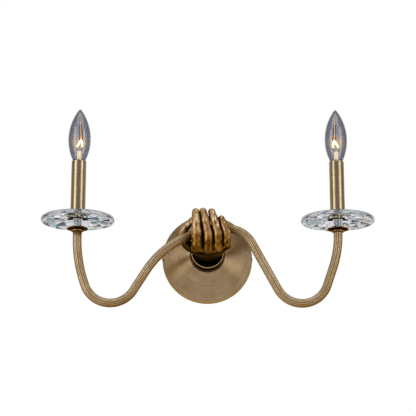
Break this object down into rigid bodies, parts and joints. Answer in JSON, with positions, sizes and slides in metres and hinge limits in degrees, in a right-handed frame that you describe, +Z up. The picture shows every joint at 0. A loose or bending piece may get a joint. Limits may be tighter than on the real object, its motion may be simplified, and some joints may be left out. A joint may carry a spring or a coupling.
{
  "type": "two-light candle wall lamp",
  "caption": "Antiqued-brass wall lamp: a cast hand on a round backplate grips reeded curved arms with cut-glass dishes and candle bulbs.",
  "frame": {"origin": "on the wall plane at the centre of the backplate and of the strap's two slots", "axes": "+X to the viewer's right along the arms, +Y into the wall, +Z up"},
  "size_m": [0.5, 0.15, 0.3078],
  "materials": {
    "spun_brass": "antiqued, brushed in rings",
    "collar_brass": "antiqued, polished lip",
    "cast_brass": "cast and antiqued, dark recesses",
    "reeded_brass": "antiqued, satin",
    "turned_brass": "turned, antiqued",
    "sleeve_brass": "brushed round, satin",
    "contact_brass": "bright stamped",
    "plated_steel": "zinc plated",
    "lead_nickel": "nickel wire",
    "green_steel": "green earth screw",
    "crystal": "cut and polished lead glass",
    "bulb_glass": "clear blown",
    "stem_glass": "clear drawn",
    "filament": "glowing tungsten coil",
    "phenolic": "black phenolic moulding",
    "vitrite": "black glassy insulator",
    "felt": "pressed felt",
    "wire_jacket": "woven-look sleeve",
    "connector_plastic": "moulded, ribbed"
  },
  "bodies": {
    "root": {"backplate": "spun_brass", "collar": "collar_brass", "hand": "cast_brass", "arm_coupling": "reeded_brass", "wrist_nipple": "plated_steel", "hub_washer": "plated_steel", "hub_nut": "plated_steel", "wall_strap": "plated_steel", "side_screws": "turned_brass", "ground_screw": "green_steel", "wire_connectors": "connector_plastic", "arm_left": "reeded_brass", "arm_right": "reeded_brass", "wires_left": "wire_jacket", "wires_right": "wire_jacket", "arm_cup_left": "turned_brass", "arm_cup_right": "turned_brass", "felt_washer_left": "felt", "felt_washer_right": "felt", "lamp_nipple_left": "plated_steel", "lamp_nipple_right": "plated_steel", "glass_dish_left": "crystal", "glass_dish_right": "crystal", "seat_ring_left": "turned_brass", "seat_ring_right": "turned_brass", "nipple_nut_left": "plated_steel", "nipple_nut_right": "plated_steel", "socket_bracket_left": "plated_steel", "socket_bracket_right": "plated_steel", "socket_body_left": "phenolic", "socket_body_right": "phenolic", "socket_shell_left": "contact_brass", "socket_shell_right": "contact_brass", "socket_contact_left": "contact_brass", "socket_contact_right": "contact_brass"},
    "bulb_carrier_left": {"bulb_tip_contact_left": "contact_brass"},
    "bulb_left": {"bulb_cap_left": "contact_brass", "bulb_insulator_left": "vitrite", "bulb_glass_left": "bulb_glass", "bulb_stem_left": "stem_glass", "bulb_leads_left": "lead_nickel", "bulb_filament_left": "filament"},
    "sleeve_left": {"candle_sleeve_left": "sleeve_brass"},
    "bulb_carrier_right": {"bulb_tip_contact_right": "contact_brass"},
    "bulb_right": {"bulb_cap_right": "contact_brass", "bulb_insulator_right": "vitrite", "bulb_glass_right": "bulb_glass", "bulb_stem_right": "stem_glass", "bulb_leads_right": "lead_nickel", "bulb_filament_right": "filament"},
    "sleeve_right": {"candle_sleeve_right": "sleeve_brass"}
  },
  "joints": [
    {"name": "bulb_left_rise", "type": "slide", "parent": "root", "child": "bulb_carrier_left", "axis": [0, 0, 1], "range_m": [0, 0.0102]},
    {"name": "bulb_left_turn", "type": "hinge", "parent": "bulb_carrier_left", "child": "bulb_left", "pos_m": [-0.195, -0.095, 0], "axis": [0, 0, 1], "range_deg": [0, 1440]},
    {"name": "sleeve_left_turn", "type": "hinge", "parent": "root", "child": "sleeve_left", "pos_m": [-0.195, -0.095, 0], "axis": [0, 0, 1], "continuous": true},
    {"name": "bulb_right_rise", "type": "slide", "parent": "root", "child": "bulb_carrier_right", "axis": [0, 0, 1], "range_m": [0, 0.0102]},
    {"name": "bulb_right_turn", "type": "hinge", "parent": "bulb_carrier_right", "child": "bulb_right", "pos_m": [0.195, -0.095, 0], "axis": [0, 0, 1], "range_deg": [0, 1440]},
    {"name": "sleeve_right_turn", "type": "hinge", "parent": "root", "child": "sleeve_right", "pos_m": [0.195, -0.095, 0], "axis": [0, 0, 1], "continuous": true}
  ],
  "couplings": [
    {"joint": "bulb_left_rise", "follows": "bulb_left_turn", "m_per_rad": 0.00040425},
    {"joint": "bulb_right_rise", "follows": "bulb_right_turn", "m_per_rad": 0.00040425}
  ]
}
